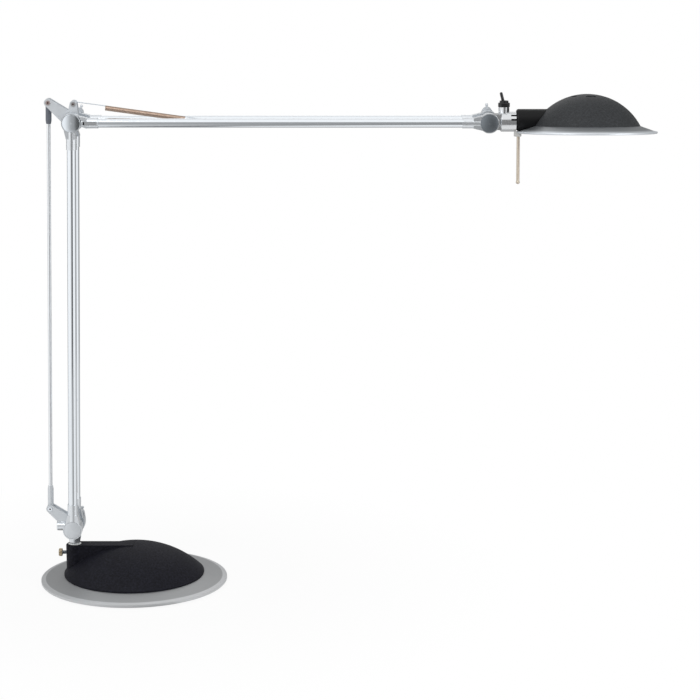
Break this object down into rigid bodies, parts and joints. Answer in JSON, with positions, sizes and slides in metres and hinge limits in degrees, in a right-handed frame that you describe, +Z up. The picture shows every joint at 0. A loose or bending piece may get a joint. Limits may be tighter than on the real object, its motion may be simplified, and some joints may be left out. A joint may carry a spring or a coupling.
{
  "type": "counterweight balance desk lamp",
  "caption": "Spring-balanced desk lamp: weighted round base, twin-tube arms kept level by a link rod, domed halogen head with a toggle switch.",
  "frame": {"origin": "middle of the base's underside, on the desk", "axes": "+X the way the arms and head reach, +Y to the back, +Z up"},
  "size_m": [0.6591, 0.202, 0.5328],
  "materials": {
    "silver_tube": "satin anodised",
    "silver_fitting": "satin",
    "bracket_grey": "satin light grey",
    "polished_steel": "polished",
    "black_texture": "fine texture, matt",
    "plate_silver": "satin metallic",
    "shade_dark": "fine texture, matt",
    "neck_black": "satin",
    "brim_silver": "satin lacquer",
    "brass": "satin",
    "copper_wire": "copper plated",
    "rubber": "matt",
    "ballast_iron": "as cast",
    "core_wound": "taped winding",
    "nylon": "natural",
    "dark_fitting": "satin dark grey",
    "black_plastic": "satin",
    "ceramic": "unglazed",
    "reflector_metal": "polished",
    "clear_glass": "clear",
    "handle_tan": "satin",
    "clip_light": "satin"
  },
  "bodies": {
    "base": {"base_pad": "rubber", "base_plate": "plate_silver", "ballast_ring": "ballast_iron", "transformer": "core_wound", "base_cover": "black_texture", "cover_screws": "polished_steel", "cord_bush": "rubber", "swivel_bush": "nylon"},
    "thumb": {"thumb_screw": "brass"},
    "swivel": {"swivel_stem": "silver_fitting", "stem_clip": "polished_steel", "shoulder_plate_front": "bracket_grey", "shoulder_plate_rear": "bracket_grey", "shoulder_pins": "copper_wire", "shoulder_bushes": "nylon"},
    "friction": {"friction_screw": "silver_fitting"},
    "lower_arm": {"lower_tube_front": "silver_tube", "lower_tube_rear": "silver_tube", "lower_foot_end_front": "silver_fitting", "lower_foot_end_rear": "silver_fitting", "lower_top_end_front": "silver_fitting", "lower_top_end_rear": "silver_fitting", "lower_spring_anchor": "polished_steel", "lower_spring": "copper_wire", "shoulder_bolt": "bracket_grey", "elbow_bolt": "polished_steel"},
    "shoulder_knob_body": {"shoulder_knob": "bracket_grey"},
    "elbow_knob_body": {"elbow_knob": "bracket_grey"},
    "rod": {"link_rod": "silver_tube", "link_foot": "bracket_grey", "link_head": "dark_fitting"},
    "elbow_bracket": {"elbow_plate_front": "bracket_grey", "elbow_plate_rear": "bracket_grey", "elbow_spacer": "silver_fitting", "elbow_pins": "copper_wire", "elbow_bushes": "nylon"},
    "upper_arm": {"upper_tube_front": "silver_tube", "upper_tube_rear": "silver_tube", "upper_root_end_front": "silver_fitting", "upper_root_end_rear": "silver_fitting", "upper_tip_end_front": "silver_fitting", "upper_tip_end_rear": "silver_fitting", "upper_spring_anchor": "polished_steel", "upper_spring": "copper_wire", "head_bolt": "polished_steel"},
    "head_knob_body": {"head_knob": "bracket_grey"},
    "head": {"head_hub": "silver_fitting", "head_bushes": "nylon", "switch_body": "black_plastic", "switch_nut": "black_plastic"},
    "toggle": {"toggle_lever": "black_plastic"},
    "shade": {"shade_neck": "neck_black", "shade_dome": "shade_dark", "shade_brim": "brim_silver", "reflector": "reflector_metal", "lamp_holder": "ceramic", "halogen_capsule": "clear_glass", "safety_glass": "clear_glass", "handle_rod": "handle_tan", "handle_clip": "clip_light"}
  },
  "joints": [
    {"name": "base_swivel", "type": "hinge", "parent": "base", "child": "swivel", "pos_m": [-0.0643, 0, 0.009], "axis": [0, 0, 1], "range_deg": [-170, 170]},
    {"name": "thumb_screw_turn", "type": "hinge", "parent": "base", "child": "thumb", "pos_m": [-0.0763, 0, 0.032], "axis": [-1, 0, 0], "range_deg": [0, 180]},
    {"name": "lower_arm_tilt", "type": "hinge", "parent": "swivel", "child": "lower_arm", "pos_m": [-0.0643, 0, 0.062], "axis": [0, 1, 0], "range_deg": [-20, 50], "deforming": ["lower_spring"]},
    {"name": "link_rod_swing", "type": "hinge", "parent": "swivel", "child": "rod", "pos_m": [-0.0895, 0, 0.0822], "axis": [0, 1, 0], "range_deg": [-20, 50]},
    {"name": "friction_screw_turn", "type": "hinge", "parent": "swivel", "child": "friction", "pos_m": [-0.0733, 0, 0.062], "axis": [-1, 0, 0], "range_deg": [0, 180]},
    {"name": "shoulder_knob_turn", "type": "hinge", "parent": "lower_arm", "child": "shoulder_knob_body", "pos_m": [-0.0643, 0.02, 0.062], "axis": [0, 1, 0], "range_deg": [-60, 60]},
    {"name": "elbow_bracket_turn", "type": "hinge", "parent": "lower_arm", "child": "elbow_bracket", "pos_m": [-0.05509, 0, 0.5019], "axis": [0, 1, 0], "range_deg": [-50, 20]},
    {"name": "elbow_knob_turn", "type": "hinge", "parent": "lower_arm", "child": "elbow_knob_body", "pos_m": [-0.05509, 0.02, 0.5019], "axis": [0, 1, 0], "range_deg": [-60, 60]},
    {"name": "upper_arm_tilt", "type": "hinge", "parent": "elbow_bracket", "child": "upper_arm", "pos_m": [-0.05509, 0, 0.5019], "axis": [0, 1, 0], "range_deg": [-50, 42], "deforming": ["upper_spring"]},
    {"name": "head_tilt", "type": "hinge", "parent": "upper_arm", "child": "head", "pos_m": [0.38092, 0, 0.5019], "axis": [0, -1, 0], "range_deg": [-60, 70]},
    {"name": "head_knob_turn", "type": "hinge", "parent": "upper_arm", "child": "head_knob_body", "pos_m": [0.38092, 0.02, 0.5019], "axis": [0, 1, 0], "range_deg": [-60, 60]},
    {"name": "shade_roll", "type": "hinge", "parent": "head", "child": "shade", "pos_m": [0.40891, 0, 0.5019], "axis": [1, 0, 0], "range_deg": [-40.4, 49.6]},
    {"name": "toggle_switch", "type": "hinge", "parent": "head", "child": "toggle", "pos_m": [0.39692, 0, 0.5194], "axis": [0, 1, 0], "range_deg": [0, 29]}
  ],
  "couplings": [
    {"joint": "link_rod_swing", "follows": "lower_arm_tilt", "ratio": 1},
    {"joint": "elbow_bracket_turn", "follows": "lower_arm_tilt", "ratio": -1}
  ]
}
